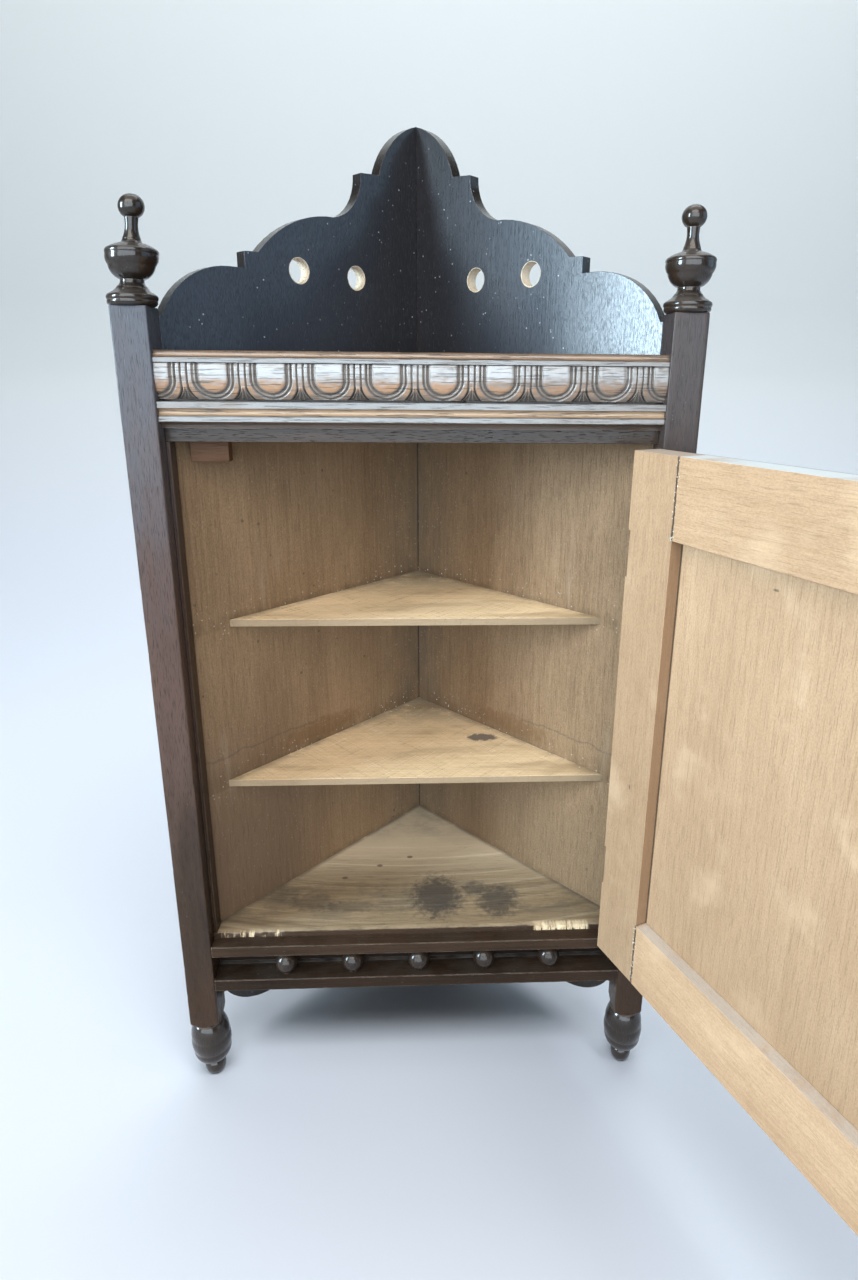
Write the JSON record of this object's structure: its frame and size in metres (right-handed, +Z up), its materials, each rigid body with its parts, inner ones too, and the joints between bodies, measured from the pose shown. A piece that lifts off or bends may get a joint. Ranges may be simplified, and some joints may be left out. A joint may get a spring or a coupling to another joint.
{
  "type": "miniature corner cupboard",
  "caption": "Miniature corner cupboard: square posts with turned finials and feet, back boards rising to a pierced gallery, carved frieze, fixed shelves and a hinged panel door.",
  "frame": {"origin": "on the ground, in the middle of the foot of the back corner, where the two back boards meet", "axes": "+Z up, -Y towards the front, +X to the right seen from the front; the door is at rest standing open by 114 degrees"},
  "size_m": [0.3451, 0.3542, 0.5335],
  "materials": {
    "ebonised_wood": "ebonised, worn, low sheen",
    "post_wood": "ebonised and rubbed, dull",
    "carved_wood": "ebonised, rubbed through to brown on the high parts",
    "shelf_oak": "bare, sawn, dusty",
    "floor_oak": "bare, stained and worn",
    "block_pine": "bare",
    "door_oak": "bare, planed",
    "hinge_brass": "old, dull",
    "fastener_steel": "dark, aged"
  },
  "bodies": {
    "cabinet": {"left_post": "post_wood", "right_post": "post_wood", "left_finial": "ebonised_wood", "right_finial": "ebonised_wood", "left_foot": "ebonised_wood", "right_foot": "ebonised_wood", "left_back_board": "ebonised_wood", "right_back_board": "ebonised_wood", "top_board": "floor_oak", "upper_shelf": "shelf_oak", "lower_shelf": "shelf_oak", "floor_board": "floor_oak", "frieze_board": "ebonised_wood", "frieze_cornice": "carved_wood", "egg_and_dart": "carved_wood", "frieze_lower_moulding": "carved_wood", "floor_rail": "ebonised_wood", "lower_rail": "ebonised_wood", "bead_backing": "ebonised_wood", "rail_bead_1": "ebonised_wood", "rail_bead_2": "ebonised_wood", "rail_bead_3": "ebonised_wood", "rail_bead_4": "ebonised_wood", "rail_bead_5": "ebonised_wood", "left_stop_strip": "ebonised_wood", "door_stop_block": "block_pine", "panel_pins": "fastener_steel", "upper_frame_leaf": "hinge_brass", "lower_frame_leaf": "hinge_brass", "upper_hinge_pin": "hinge_brass", "lower_hinge_pin": "hinge_brass", "frame_hinge_screws": "fastener_steel"},
    "door": {"door_hinge_stile": "door_oak", "door_free_stile": "door_oak", "door_top_rail": "door_oak", "door_bottom_rail": "door_oak", "door_panel": "door_oak", "door_knob": "ebonised_wood", "upper_door_leaf": "hinge_brass", "lower_door_leaf": "hinge_brass", "door_hinge_screws": "fastener_steel"}
  },
  "joints": [
    {"name": "door_hinge", "type": "hinge", "parent": "cabinet", "child": "door", "pos_m": [0.1138, -0.13725, 0.2355], "axis": [0, 0, 1], "range_deg": [-114, 61]}
  ]
}
